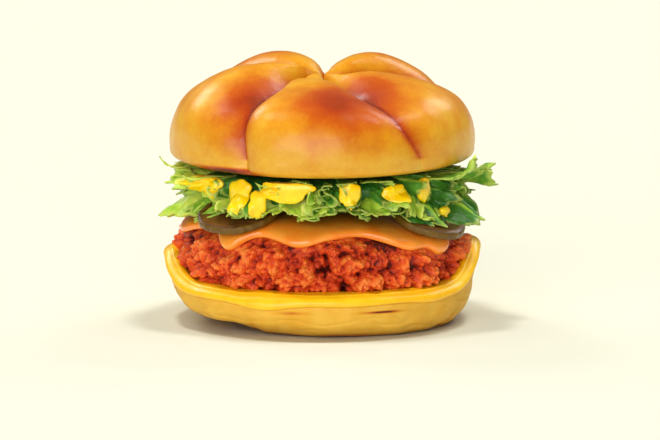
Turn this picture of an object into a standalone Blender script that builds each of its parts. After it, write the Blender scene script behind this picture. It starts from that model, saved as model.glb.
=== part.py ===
# A crispy chicken burger in a five-lobed kaiser roll, modelled layer by layer from the floor up.
# Metres, +Z up. The origin is the middle of the flat base of the lower bun, and -Y is the front.
# An azimuth is in degrees from the front, growing towards +X. A section is a (radius, height) outline.

import math
import random

import bmesh
import bpy
from mathutils import Matrix, Vector, noise

MM = 0.001

# Driving dimensions
BUN_RADIUS = 55.5 * MM
GAP = 0.4 * MM

# Upper bun
CROWN_UNDERSIDE = 57.8 * MM
CROWN_WIDEST = 64.5 * MM
CROWN_TOP = 96.5 * MM
CROWN_DOME_POWER = 2.5
CROWN_EDGE_POWER = 4.2
CROWN_DOME_SHARE = 0.76
# The dip where the folds meet: a wide hollow with a small deep one in it, each (radius, depth)
CROWN_DIPS = ((16.0 * MM, 0.12), (6.0 * MM, 0.06))
# Each fold between two lobes swirls from beside the dip out to the rim, and drifts on under it:
# azimuth at the dip, half way out, at the rim and at the underside, and its depth at the rim.
FOLDS = (
    (-110, -38, -33.5, -22, 0.12),
    (14, 29, 42, 48, 0.035),
    (60, 108, 113, 118, 0.07),
    (165, 178, 185, 190, 0.08),
    (300, 252, 240, 246, 0.06),
)
FOLD_DEPTH = 0.29
# How softly each lobe sinks into the fold before it and after it, as a share of the lobe, and how
# far its crest stands above the dome.
LOBES = (
    (0.065, 0.10, -0.12),
    (0.30, 0.13, -0.10),
    (0.16, 0.28, 0.03),
    (0.22, 0.20, 0.035),
    (0.16, 0.30, 0.00),
)

# Lower bun
HEEL_BASE_RADIUS = 38.5 * MM
HEEL_BASE_SHIFT = 6.5 * MM
HEEL_FLOOR = 13.1 * MM
HEEL_FRONT_RIM = 14.3 * MM
HEEL_BACK_RIM = 20.0 * MM
HEEL_LEFT_RIM = 24.5 * MM
HEEL_RIGHT_RIM = 27.5 * MM
HEEL_EDGE = 2.0 * MM
HEEL_LIP_POWER = 16
HEEL_CLEFTS = ((-33, 2.2 * MM), (62, 1.2 * MM), (128, 1.6 * MM), (-152, 1.8 * MM), (-96, 1.2 * MM))

# Yellow sauce on the lower bun: how far it runs over the rim, and its (azimuth, run, half width) drips
YELLOW_THICKNESS = 1.3 * MM
YELLOW_GAP = 0.85 * MM
YELLOW_RUN = -1.6 * MM
YELLOW_DRIPS = (
    (-24, 3.4 * MM, 12),
    (-68, 1.6 * MM, 10),
    (12, 1.2 * MM, 9),
    (47, 1.4 * MM, 12),
    (84, 1.8 * MM, 10),
    (125, 4.0 * MM, 12),
    (168, 2.4 * MM, 14),
    (-140, 4.0 * MM, 13),
)

# Chicken fillet
FILLET_MIDDLE = 28.0 * MM
FILLET_HALF_LENGTH = 51.0 * MM
FILLET_HALF_DEPTH = 48.0 * MM
FILLET_HALF_HEIGHT = 12.2 * MM
FILLET_UPPER_POWER = 3.0
FILLET_LOWER_POWER = 7.0
FILLET_THIN_END = 0.36
# The crumb's lumps, each kind with its size and its share of the height, and the level they stand on
CRAG_SIZES = ((10.5 * MM, 1.0), (4.6 * MM, 0.4))
CRAG_LEVEL = 0.39
CRAG_HEIGHT = 10.0 * MM

# Orange sauce over the fillet: the height of its edge, and its (azimuth, drop, half width) drips
ORANGE_THICKNESS = 2.2 * MM
ORANGE_GAP = 0.8 * MM
ORANGE_EDGE = 35.6 * MM
ORANGE_DRIPS = (
    (-86, 3.5 * MM, 12),
    (-43, 5.0 * MM, 7),
    (-10, 2.6 * MM, 10),
    (20, -0.4 * MM, 8),
    (40, 1.8 * MM, 8),
    (57, 3.4 * MM, 6),
    (82, -3.0 * MM, 13),
    (112, 4.4 * MM, 9),
    (141, 4.6 * MM, 9),
    (172, 2.6 * MM, 12),
    (-150, 4.4 * MM, 9),
    (-121, 2.6 * MM, 9),
)

# Pickle slices: (x, y, height of the middle, radius, lean to the front, lean to the right)
PICKLE_THICKNESS = 4.0 * MM
PICKLES = (
    (-30.5 * MM, -28.5 * MM, 43.1 * MM, 14.8 * MM, 17, -9),
    (38.5 * MM, -23.0 * MM, 39.9 * MM, 14.0 * MM, 12, 17),
)

# Lettuce heap
HEAP_TOP = 57.1 * MM
HEAP_BOTTOM = 43.6 * MM
HEAP_HALF_LENGTH = 47.0 * MM
HEAP_HALF_DEPTH = 43.5 * MM
LEAF_THICKNESS = 1.3 * MM
LEAF_ROWS = 3
LEAF_COLUMNS = 6
LEAF_SEED = 12
LEAF_COUNT = 9
# Leaves of the front and sides: azimuth, root height, length, half width, droop at the root and the
# further bend along the leaf in degrees, turn about the outward axis in degrees, and ruffle.
SHOWN_LEAVES = (
    (-88, 52 * MM, 21 * MM, 10 * MM, -16, -20, 12, 2.6 * MM),
    (-80, 48 * MM, 23 * MM, 11 * MM, 2, 45, -10, 2.6 * MM),
    (-66, 54 * MM, 22 * MM, 10 * MM, -4, 30, -14, 2.6 * MM),
    (-58, 50 * MM, 20 * MM, 9 * MM, 10, 40, 14, 2.4 * MM),
    (-41, 53 * MM, 19 * MM, 8 * MM, 8, 45, -16, 2.4 * MM),
    (-27, 52 * MM, 18 * MM, 9 * MM, 8, 40, 14, 2.4 * MM),
    (-9, 52 * MM, 17 * MM, 10 * MM, 6, 36, -8, 2.4 * MM),
    (8, 54 * MM, 17 * MM, 9 * MM, 2, 36, 10, 2.4 * MM),
    (24, 52 * MM, 18 * MM, 10 * MM, 8, 38, -12, 2.4 * MM),
    (40, 54 * MM, 19 * MM, 9 * MM, 4, 40, 12, 2.4 * MM),
    (52, 50 * MM, 21 * MM, 10 * MM, 14, 46, -10, 2.6 * MM),
    (66, 54 * MM, 25 * MM, 11 * MM, -8, 10, 12, 2.8 * MM),
    (74, 48 * MM, 26 * MM, 12 * MM, 6, 50, -12, 2.8 * MM),
    (90, 51 * MM, 26 * MM, 10 * MM, -6, 20, 10, 2.8 * MM),
)
LEAF_ROOT_DEPTH = 10 * MM
# Thick drizzle of yellow dressing on the heap: azimuth, radius, height, half width, half height
DRIZZLES = (
    (-58, 50.0 * MM, 53.6 * MM, 8.0 * MM, 3.6 * MM),
    (-39, 49.0 * MM, 52.0 * MM, 4.6 * MM, 5.0 * MM),
    (-17, 49.5 * MM, 54.4 * MM, 10.0 * MM, 3.4 * MM),
    (12, 50.0 * MM, 53.6 * MM, 3.6 * MM, 3.6 * MM),
    (34, 49.5 * MM, 52.6 * MM, 5.0 * MM, 3.0 * MM),
    (50, 50.0 * MM, 53.0 * MM, 3.6 * MM, 3.6 * MM),
    (122, 49.0 * MM, 53.4 * MM, 6.0 * MM, 3.6 * MM),
    (170, 48.0 * MM, 53.6 * MM, 8.0 * MM, 3.4 * MM),
    (-135, 49.0 * MM, 53.4 * MM, 6.5 * MM, 3.8 * MM),
)
DRIZZLE_BULGE = 3.0 * MM


def clamped(value):
    return min(1.0, max(0.0, value))


def eased(value):
    value = clamped(value)
    return value * value * (3 - 2 * value)


def mixed(first, second, share):
    return first + (second - first) * share


def standing(azimuth, radius, height):
    turn = math.radians(azimuth)
    return Vector((radius * math.sin(turn), -radius * math.cos(turn), height))


def azimuth_of(point):
    return math.degrees(math.atan2(point[0], -point[1]))


def nearness(azimuth, middle, half_width):
    # 1 at the middle azimuth, falling to 0 smoothly on both sides
    away = (azimuth - middle + 180) % 360 - 180
    return math.exp(-((away / half_width) ** 2))


def food_material(name, colour, roughness):
    material = bpy.data.materials.new(name)
    material.use_nodes = True
    shader = material.node_tree.nodes["Principled BSDF"]
    shader.inputs["Base Color"].default_value = (*colour, 1)
    shader.inputs["Roughness"].default_value = roughness
    shader.inputs["Metallic"].default_value = 0
    return material


def food_object(name, mesh, material, collection):
    mesh.shade_smooth()
    mesh.materials.append(material)
    item = bpy.data.objects.new(name, mesh)
    collection.objects.link(item)
    return item


def moulded_ball(name, segments, rings, place):
    # A sphere whose every point is moved to place(azimuth, share), where share runs from 0 at the
    # top pole to 1 at the bottom pole.
    form = bmesh.new()
    bmesh.ops.create_uvsphere(form, u_segments=segments, v_segments=rings, radius=1)
    for vertex in form.verts:
        share = math.acos(max(-1.0, min(1.0, vertex.co.z))) / math.pi
        vertex.co = place(azimuth_of(vertex.co), share)
    bmesh.ops.triangulate(form, faces=form.faces, quad_method="SHORT_EDGE")
    bmesh.ops.recalc_face_normals(form, faces=form.faces)
    mesh = bpy.data.meshes.new(name)
    form.to_mesh(mesh)
    form.free()
    return mesh


def offset_section(section, azimuth, along, distance):
    # The section's point moved out of the surface by a distance
    step = 0.004
    before = section(azimuth, along - step)
    after = section(azimuth, along + step)
    run = after[0] - before[0]
    rise = after[1] - before[1]
    length = math.hypot(run, rise)
    radius, height = section(azimuth, along)
    return radius - rise / length * distance, height + run / length * distance


# Upper bun


def crown_section(share):
    if share < CROWN_DOME_SHARE:
        turn = share / CROWN_DOME_SHARE * math.pi / 2
        power = 2 / CROWN_DOME_POWER
        rise = (CROWN_TOP - CROWN_WIDEST) * math.cos(turn) ** power
        return BUN_RADIUS * math.sin(turn) ** power, CROWN_WIDEST + rise
    turn = (share - CROWN_DOME_SHARE) / (1 - CROWN_DOME_SHARE) * math.pi / 2
    power = 2 / CROWN_EDGE_POWER
    fall = (CROWN_WIDEST - CROWN_UNDERSIDE) * math.sin(turn) ** power
    return BUN_RADIUS * max(0.0, math.cos(turn)) ** power, CROWN_WIDEST - fall


def fold_azimuth(number, along, reach, under):
    inner, middle, rim, below, _ = FOLDS[number % len(FOLDS)]
    swirled = middle + (rim - middle) * along ** 4 + (inner - middle) * (1 - reach) ** 4
    return mixed(swirled, below, under) + 360 * (number // len(FOLDS))


def crown_point(azimuth, share):
    # The ball's meridians follow the folds, and crowd towards them.
    lobe, across = divmod((azimuth % 360) / 360 * len(LOBES), 1)
    lobe = int(lobe)
    across -= 0.55 * math.sin(2 * math.pi * across) / (2 * math.pi)
    radius, height = crown_section(share)
    along = min(1.0, share / CROWN_DOME_SHARE)
    reach = radius / BUN_RADIUS if along < 1 else 1.0
    under = eased((share - CROWN_DOME_SHARE) / (1 - CROWN_DOME_SHARE))
    start = fold_azimuth(lobe, along, reach, under)
    turned = mixed(start, fold_azimuth(lobe + 1, along, reach, under), across)

    before, after, crest = LOBES[lobe]
    pillow = (1 - math.exp(-across / before)) * (1 - math.exp(-(1 - across) / after))
    pillow /= (1 - math.exp(-0.5 / before)) * (1 - math.exp(-0.5 / after))
    rim_depth = mixed(FOLDS[lobe][4], FOLDS[(lobe + 1) % len(FOLDS)][4], across)
    depth = mixed(FOLD_DEPTH, rim_depth, eased(reach ** 2.5)) * eased(0.35 + reach * 1.6)
    depth *= 1 - eased((share - CROWN_DOME_SHARE) / 0.14)
    sunk = depth * (1 - pillow)
    for dip_radius, dip_depth in CROWN_DIPS:
        sunk += dip_depth * math.exp(-((radius / dip_radius) ** 2))
    scale = 1 - sunk + crest * eased(reach * 4.5) * eased((1 - reach) * 2.2)
    middle = CROWN_WIDEST - 2 * MM
    if height < middle:
        return standing(turned, radius * scale, height)
    return standing(turned, radius * scale, middle + (height - middle) * scale)


# Lower bun


def heel_rim(azimuth):
    # The rim is low and level in front and stands up at both sides.
    turn = math.radians(azimuth)
    sideways = abs(math.sin(turn))
    side = HEEL_RIGHT_RIM if math.sin(turn) > 0 else HEEL_LEFT_RIM
    if math.cos(turn) > 0:
        height = mixed(HEEL_FRONT_RIM, side, sideways ** 18)
    else:
        height = mixed(HEEL_BACK_RIM, side, sideways ** 4)
    return BUN_RADIUS * mixed(0.975, 1.014, sideways ** 2), height


def heel_base(azimuth):
    turn = math.radians(azimuth)
    return HEEL_BASE_RADIUS + HEEL_BASE_SHIFT * math.sin(turn) + 1.5 * MM * math.cos(turn)


def heel_section(azimuth, along):
    # From the middle of the cut face (0) to its edge (1), over the rim (1.3), down the side to the
    # base (2), and in to the middle of the base (3)
    rim_radius, rim_height = heel_rim(azimuth)
    base_radius = heel_base(azimuth)
    if along <= 1:
        lip = max(0.0, along) ** HEEL_LIP_POWER
        return along * (rim_radius - HEEL_EDGE), mixed(HEEL_FLOOR, rim_height, lip)
    if along <= 1.3:
        turn = (along - 1) / 0.3 * math.pi / 2
        return (
            rim_radius - HEEL_EDGE * (1 - math.sin(turn)),
            rim_height - HEEL_EDGE * (1 - math.cos(turn)),
        )
    if along <= 2:
        turn = (along - 1.3) / 0.7 * math.pi / 2
        side = base_radius + (rim_radius - base_radius) * math.cos(turn)
        return side, (rim_height - HEEL_EDGE) * (1 - math.sin(turn))
    return base_radius * (3 - along), 0.0


def heel_point(azimuth, share):
    stations = (0, 0.5, 0.8, 0.93, 1.0, 1.15, 1.3, 1.45, 1.62, 1.81, 2.0, 2.5, 3.0)
    along = stations[round(share * (len(stations) - 1))]
    radius, height = heel_section(azimuth, along)
    if 1.5 < along < 2.4:
        low = eased((along - 1.45) / 0.4)
        for middle, depth in HEEL_CLEFTS:
            radius -= depth * low * nearness(azimuth, middle, 4.5)
    return standing(azimuth, radius, height)


def yellow_point(azimuth, share):
    run = YELLOW_RUN
    for middle, more, half_width in YELLOW_DRIPS:
        run += more * nearness(azimuth, middle, half_width)
    rim_radius, rim_height = heel_rim(azimuth)
    side_length = 0.8 * (rim_radius - heel_base(azimuth) + rim_height - HEEL_EDGE)
    lip = 1.3 + 0.7 * run / side_length
    stations = (0, 0.8, 0.93, 1.0, mixed(1, lip, 0.45), mixed(1, lip, 0.85), lip)
    last = len(stations) - 1
    place = round(share * 2 * last)
    outside = place <= last
    station = place if outside else 2 * last - place
    lift = YELLOW_GAP
    if outside:
        lift += YELLOW_THICKNESS * (1 - (station / last) ** 6)
    radius, height = offset_section(heel_section, azimuth, stations[station], lift)
    return standing(azimuth, max(0.0, radius) if station else 0.0, height)


# Chicken fillet


def fillet_section(azimuth, along):
    # From the top (0) over the side (1) to the bottom (2)
    turn = math.radians(azimuth)
    reach = 1 / math.hypot(
        math.sin(turn) / FILLET_HALF_LENGTH, math.cos(turn) / FILLET_HALF_DEPTH
    )
    upper = along < 1
    power = 2 / (FILLET_UPPER_POWER if upper else FILLET_LOWER_POWER)
    polar = clamped(along / 2) * math.pi
    radius = reach * math.sin(polar) ** power
    rise = abs(math.cos(polar)) ** power * FILLET_HALF_HEIGHT
    if upper:
        rise *= 1 - FILLET_THIN_END * eased(radius * math.sin(turn) / FILLET_HALF_LENGTH)
    return radius, FILLET_MIDDLE + (rise if upper else -rise)


def orange_edge(azimuth):
    edge = ORANGE_EDGE - 5.0 * MM * eased(math.sin(math.radians(azimuth)) * 1.2 - 0.2)
    for middle, drop, half_width in ORANGE_DRIPS:
        edge -= drop * nearness(azimuth, middle, half_width)
    return max(edge, heel_rim(azimuth)[1] + 3.4 * MM)


def clear_of_heel(azimuth, radius, height):
    # Whether a point inside the lower bun's rim leaves room for the sauce, to the side and below
    rim_radius, rim_height = heel_rim(azimuth)
    room = YELLOW_GAP + YELLOW_THICKNESS + GAP
    for aside, below in ((1.7 * room, 0), (1.3 * room, room), (0, room)):
        lip = min(1.0, (radius + aside) / (rim_radius - HEEL_EDGE)) ** HEEL_LIP_POWER
        if mixed(HEEL_FLOOR, rim_height, lip) + below > height:
            return False
    return True


def crag(point):
    # Rounded lumps of two sizes with sharp valleys between them, as fried crumb has
    height = 0.0
    for size, share in CRAG_SIZES:
        away = noise.voronoi(point / size)[0][0]
        height += share * (CRAG_LEVEL - away ** 2)
    return height


def fillet_point(azimuth, share):
    stations = (0, 0.35, 0.58, 0.72, 0.83, 0.92, 1.0, 1.005, 1.04, 1.12, 1.22, 1.34, 1.6, 2)
    along = stations[round(share * (len(stations) - 1))]
    radius, height = fillet_section(azimuth, along)
    covered = min(orange_edge(azimuth + beside) for beside in (-5, 0, 5))
    bare = eased((covered - 1.8 * MM - height) / (3.0 * MM))
    low = eased((height - (FILLET_MIDDLE - FILLET_HALF_HEIGHT)) / (3.0 * MM))
    radius += crag(standing(azimuth, radius, height)) * CRAG_HEIGHT * bare * low
    while not clear_of_heel(azimuth, radius, height):
        radius -= 0.1 * MM
    return standing(azimuth, max(0.0, radius), height)


def orange_point(azimuth, share):
    edge = orange_edge(azimuth)
    lip = 0.5
    while fillet_section(azimuth, lip)[1] > edge and lip < 1.3:
        lip += 0.005
    stations = (0, 0.45, 0.7, 0.84, 0.93, 0.985, 1)
    last = len(stations) - 1
    place = round(share * 2 * last)
    outside = place <= last
    station = place if outside else 2 * last - place
    along = stations[station] * lip
    lift = ORANGE_GAP
    if outside:
        lift += ORANGE_THICKNESS * (1 - (station / last) ** 8)
    radius, height = offset_section(fillet_section, azimuth, along, lift)
    return standing(azimuth, max(0.0, radius) if station else 0.0, height)


# Pickle slices


def pickle_matrix(slice_of, grown=0.0):
    across, ahead, height, radius, to_front, to_right = slice_of
    leaning = Matrix.Rotation(math.radians(to_right), 4, "Y")
    leaning = leaning @ Matrix.Rotation(math.radians(to_front), 4, "X")
    size = Matrix.Diagonal((radius + grown, radius + grown, PICKLE_THICKNESS / 2 + grown, 1))
    return Matrix.Translation((across, ahead, height)) @ leaning @ size


def pickle_mesh(name, slice_of, grown=0.0):
    # A disc whose cut faces are flat and whose skin bulges between them
    form = bmesh.new()
    bmesh.ops.create_cone(
        form, cap_ends=True, segments=26, radius1=0.93, radius2=0.93, depth=2
    )
    sides = [edge for edge in form.edges if abs(edge.verts[0].co.z - edge.verts[1].co.z) > 1]
    cut = bmesh.ops.subdivide_edges(form, edges=sides, cuts=2)
    for item in cut["geom_inner"]:
        if isinstance(item, bmesh.types.BMVert):
            item.co.x /= 0.93
            item.co.y /= 0.93
            item.co.z *= 1.9
    form.transform(pickle_matrix(slice_of, grown))
    mesh = bpy.data.meshes.new(name)
    form.to_mesh(mesh)
    form.free()
    return mesh


# Lettuce heap


def heap_point(azimuth, share):
    turn = math.radians(azimuth)
    polar = share * math.pi
    reach = 1 / math.hypot(
        math.sin(turn) / HEAP_HALF_LENGTH, math.cos(turn) / HEAP_HALF_DEPTH
    )
    radius = reach * math.sin(polar) ** 0.4
    middle = (HEAP_TOP + HEAP_BOTTOM) / 2
    half = (HEAP_TOP - HEAP_BOTTOM) / 2
    side = math.copysign(abs(math.cos(polar)) ** 0.4, math.cos(polar))
    wobble = 1.2 * MM * noise.noise(standing(azimuth, 1.0, share * 3) * 2.2)
    return standing(azimuth, radius + wobble * math.sin(polar), middle + half * side)


def soft_least(first, second, softness):
    # The smaller of two lengths, rounded over where they are nearly equal
    away = (first - second) / softness
    return second if away > 40 else first - softness * math.log1p(math.exp(away))


def sauce_top(azimuth, radius):
    # Height that clears the orange sauce at a radius, or 0 beside it
    turn = math.radians(azimuth)
    reach = 1 / math.hypot(
        math.sin(turn) / FILLET_HALF_LENGTH, math.cos(turn) / FILLET_HALF_DEPTH
    )
    clear = ORANGE_GAP + ORANGE_THICKNESS + 1.2 * MM
    share = radius / (reach + clear)
    if share >= 1:
        return 0.0
    rise = (FILLET_HALF_HEIGHT + clear) * (1 - share ** FILLET_UPPER_POWER) ** (1 / FILLET_UPPER_POWER)
    rise *= 1 - FILLET_THIN_END * eased(radius * math.sin(turn) / FILLET_HALF_LENGTH)
    return FILLET_MIDDLE + rise


def kept_between_layers(point, ceiling):
    # Under the crown a leaf stays between the bun above and the sauce below. Past the rim it is free.
    radius = math.hypot(point.x, point.y)
    floor = sauce_top(azimuth_of(point), radius)
    height = soft_least(ceiling, point.z, 1.2 * MM)
    height = -soft_least(-floor, -height, 0.8 * MM)
    out = eased((radius - 56.5 * MM) / (3.0 * MM))
    return Vector((point.x, point.y, mixed(height, point.z, out)))


def leaf_point(leaf, along, across, lift):
    # The leaf leaves the heap at its droop, bends over, and is pleated more towards its edge.
    # Its upper face is lifted off its lower one.
    azimuth, root, length, half_width, droop, bend, turn, ruffle = leaf
    mean_slope = math.radians(droop + bend * along / 2)
    slope = math.radians(droop + bend * along)
    spread = half_width * (0.35 + 0.65 * math.sin(math.pi * (0.08 + 0.58 * along)))
    pleat = ruffle * (0.35 + 0.65 * along) * math.cos(math.pi * LEAF_COLUMNS / 2 * (across + 1))
    tip = 1 - 0.2 * across ** 2 + 0.06 * math.sin(9 * across + azimuth)
    reach = length * along * tip
    outward = Vector((0, -math.cos(mean_slope), -math.sin(mean_slope))) * reach
    normal = Vector((0, -math.sin(slope), math.cos(slope)))
    turning = Matrix.Rotation(math.radians(azimuth), 3, "Z")
    turning = turning @ Matrix.Rotation(math.radians(turn), 3, "Y")
    rim = math.hypot(
        HEAP_HALF_LENGTH * math.sin(math.radians(azimuth)),
        HEAP_HALF_DEPTH * math.cos(math.radians(azimuth)),
    )
    lower = turning @ (outward + normal * pleat + Vector((across * spread, 0, 0)))
    lower += standing(azimuth, rim - LEAF_ROOT_DEPTH, root)
    ceiling = CROWN_UNDERSIDE - LEAF_THICKNESS - (0.7 + 0.3 * math.sin(7 * azimuth)) * MM
    return kept_between_layers(lower, ceiling) + turning @ normal * (lift * LEAF_THICKNESS)


def leaf_mesh(name, leaf):
    form = bmesh.new()
    bmesh.ops.create_grid(form, x_segments=LEAF_COLUMNS, y_segments=LEAF_ROWS, size=1)
    bmesh.ops.triangulate(form, faces=form.faces)
    upper = bmesh.ops.extrude_face_region(form, geom=form.faces[:])
    for item in upper["geom"]:
        if isinstance(item, bmesh.types.BMVert):
            item.co.z = 1
    for vertex in form.verts:
        vertex.co = leaf_point(leaf, (vertex.co.y + 1) / 2, vertex.co.x, vertex.co.z)
    bmesh.ops.recalc_face_normals(form, faces=form.faces)
    if form.calc_volume(signed=True) < 0:
        bmesh.ops.reverse_faces(form, faces=form.faces)
    mesh = bpy.data.meshes.new(name)
    form.to_mesh(mesh)
    form.free()
    return mesh


def leaves():
    # The leaves of the front and sides, and more of them at random round the back
    draw = random.Random(LEAF_SEED)
    found = list(SHOWN_LEAVES)
    for number in range(LEAF_COUNT):
        azimuth = 106 + 150 * (number + 0.5) / LEAF_COUNT + draw.uniform(-4, 4)
        found.append(
            (
                azimuth,
                draw.uniform(47, 53) * MM,
                draw.uniform(16, 22) * MM,
                draw.uniform(9, 12) * MM,
                draw.uniform(-10, 20),
                draw.uniform(20, 60),
                draw.uniform(-16, 16),
                draw.uniform(1.6, 2.4) * MM,
            )
        )
    return found


def drizzle_mesh(name, drizzle):
    # A rounded patch that bulges out of the heap and sags below
    azimuth, reach, height, half_width, half_height = drizzle
    form = bmesh.new()
    bmesh.ops.create_icosphere(form, subdivisions=2, radius=1)
    for vertex in form.verts:
        sideways, out, up = vertex.co.x * half_width, -vertex.co.y, vertex.co.z
        turned = azimuth + math.degrees(sideways / reach)
        sag = 1 + 0.25 * math.cos(3.2 * vertex.co.x + azimuth)
        raised = height + up * half_height * (sag if up < 0 else 0.8)
        raised = soft_least(CROWN_UNDERSIDE - GAP, raised, 0.3 * MM)
        vertex.co = standing(turned, reach + out * DRIZZLE_BULGE, raised)
    bmesh.ops.recalc_face_normals(form, faces=form.faces)
    mesh = bpy.data.meshes.new(name)
    form.to_mesh(mesh)
    form.free()
    return mesh


def join_pieces(target, pieces, operation, solver):
    # Unites the target with the pieces, or cuts them out of it, and leaves one plain mesh
    joined = target.modifiers.new(operation.title(), "BOOLEAN")
    joined.operation = operation
    joined.solver = solver
    joined.operand_type = "COLLECTION"
    joined.collection = pieces
    graph = bpy.context.evaluated_depsgraph_get()
    mesh = bpy.data.meshes.new_from_object(target.evaluated_get(graph))
    target.modifiers.remove(joined)
    target.data = mesh
    for piece in list(pieces.objects):
        bpy.data.objects.remove(piece)


def keep_largest_piece(mesh):
    # Drops the loose scraps that cutting leaves
    form = bmesh.new()
    form.from_mesh(mesh)
    bmesh.ops.triangulate(form, faces=form.faces)
    unseen = set(form.verts)
    islands = []
    while unseen:
        island = set()
        waiting = [unseen.pop()]
        while waiting:
            vertex = waiting.pop()
            island.add(vertex)
            for edge in vertex.link_edges:
                other = edge.other_vert(vertex)
                if other in unseen:
                    unseen.discard(other)
                    waiting.append(other)
        islands.append(island)
    largest = max(islands, key=len)
    loose = [vertex for vertex in form.verts if vertex not in largest]
    bmesh.ops.delete(form, geom=loose, context="VERTS")
    form.to_mesh(mesh)
    form.free()


def clear_scene():
    for item in list(bpy.data.objects):
        bpy.data.objects.remove(item)


def new_collection(name):
    collection = bpy.data.collections.new(name)
    bpy.context.scene.collection.children.link(collection)
    return collection


def build_lettuce(burger):
    green = food_material("lettuce_green", (0.26, 0.48, 0.06), 0.4)
    heap = food_object("lettuce", moulded_ball("lettuce", 24, 7, heap_point), green, burger)
    pieces = new_collection("lettuce_pieces")
    for number, leaf in enumerate(leaves()):
        food_object(f"leaf_{number}", leaf_mesh(f"leaf_{number}", leaf), green, pieces)
    for number, drizzle in enumerate(DRIZZLES):
        mesh = drizzle_mesh(f"drizzle_{number}", drizzle)
        food_object(f"drizzle_{number}", mesh, green, pieces)
    join_pieces(heap, pieces, "UNION", "MANIFOLD")
    for number, slice_of in enumerate(PICKLES):
        hollow = pickle_mesh(f"hollow_{number}", slice_of, GAP)
        food_object(f"hollow_{number}", hollow, green, pieces)
    join_pieces(heap, pieces, "DIFFERENCE", "MANIFOLD")
    bpy.data.collections.remove(pieces)
    keep_largest_piece(heap.data)
    heap.data.name = "lettuce"


def main():
    clear_scene()
    burger = new_collection("chicken_burger")

    crust = food_material("crown_crust", (0.78, 0.40, 0.08), 0.32)
    food_object("crown_bun", moulded_ball("crown_bun", 70, 16, crown_point), crust, burger)

    build_lettuce(burger)

    skin = food_material("pickle_skin", (0.13, 0.07, 0.02), 0.3)
    for number, slice_of in enumerate(PICKLES, 1):
        name = f"pickle_slice_{number}"
        food_object(name, pickle_mesh(name, slice_of), skin, burger)

    orange = food_material("orange_sauce", (0.85, 0.34, 0.06), 0.22)
    food_object("orange_sauce", moulded_ball("orange_sauce", 66, 12, orange_point), orange, burger)

    crumb = food_material("fried_crumb", (0.62, 0.10, 0.02), 0.5)
    fillet = moulded_ball("chicken_fillet", 66, 13, fillet_point)
    food_object("chicken_fillet", fillet, crumb, burger)

    yellow = food_material("yellow_sauce", (0.90, 0.55, 0.02), 0.35)
    food_object("yellow_sauce", moulded_ball("yellow_sauce", 48, 12, yellow_point), yellow, burger)

    bread = food_material("heel_bread", (0.80, 0.50, 0.14), 0.6)
    food_object("heel_bun", moulded_ball("heel_bun", 48, 12, heel_point), bread, burger)


main()
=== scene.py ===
import functools
import math
import random

import bmesh
import bpy
from mathutils import Matrix, Vector, noise
from mathutils.bvhtree import BVHTree


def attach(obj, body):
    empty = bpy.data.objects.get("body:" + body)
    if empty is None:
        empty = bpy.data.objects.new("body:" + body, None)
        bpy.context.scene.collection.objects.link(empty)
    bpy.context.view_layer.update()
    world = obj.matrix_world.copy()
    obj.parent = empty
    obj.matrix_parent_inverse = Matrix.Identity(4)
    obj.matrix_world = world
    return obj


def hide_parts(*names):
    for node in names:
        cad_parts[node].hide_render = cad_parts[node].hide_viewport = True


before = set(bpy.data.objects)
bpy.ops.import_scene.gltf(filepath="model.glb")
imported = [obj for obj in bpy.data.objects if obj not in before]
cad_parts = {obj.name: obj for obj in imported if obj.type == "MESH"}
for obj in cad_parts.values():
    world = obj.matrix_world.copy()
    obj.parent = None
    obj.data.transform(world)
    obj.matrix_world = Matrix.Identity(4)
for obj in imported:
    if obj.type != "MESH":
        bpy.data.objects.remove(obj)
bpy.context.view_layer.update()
mm = 0.001

# Millimetre sizes are written with mm. An azimuth is in degrees from the front, growing towards +X.

# Small helpers


def clamped(value):
    return min(1.0, max(0.0, value))


def eased(value):
    # from 0 to 1 with a soft start and a soft end
    value = clamped(value)
    return value * value * (3 - 2 * value)


def mixed(first, second, share):
    return first + (second - first) * share


def standing(azimuth, radius, height):
    turn = math.radians(azimuth)
    return Vector((radius * math.sin(turn), -radius * math.cos(turn), height))


def azimuthOf(point):
    return round(math.degrees(math.atan2(point[0], -point[1])), 3)


def nearness(azimuth, middle, halfWidth):
    # 1 at the middle, falling off softly to both sides
    away = (azimuth - middle + 180) % 360 - 180
    return math.exp(-((away / halfWidth) ** 2))


def softLeast(first, second, softness):
    # the lesser of two values, rounded off where they meet
    away = (first - second) / softness
    return second if away > 40 else first - softness * math.log1p(math.exp(away))


def between(stations, share):
    # the value at a share of the way through a list
    place = clamped(share) * (len(stations) - 1)
    step = min(int(place), len(stations) - 2)
    return mixed(stations[step], stations[step + 1], place - step)


def ovalReach(azimuth, halfLength, halfDepth):
    # the radius of an oval at an azimuth
    turn = math.radians(azimuth)
    return 1 / math.hypot(math.sin(turn) / halfLength, math.cos(turn) / halfDepth)


def unevenness(point, swells):
    # each swell has a size and a height
    return sum(noise.noise(point / size) * height for size, height in swells)


def outwardAt(section, azimuth, along, step):
    # how far out and up a unit length goes that is square to a section's outline, where the section
    # gives a radius and a height at an azimuth and a place along it
    before = section(azimuth, along - step)
    after = section(azimuth, along + step)
    run, rise = after[0] - before[0], after[1] - before[1]
    length = max(math.hypot(run, rise), 1e-9)
    return -rise / length, run / length


def offsetSection(section, azimuth, along, distance):
    outward, upward = outwardAt(section, azimuth, along, 0.004)
    radius, height = section(azimuth, along)
    return radius + outward * distance, height + upward * distance


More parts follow.
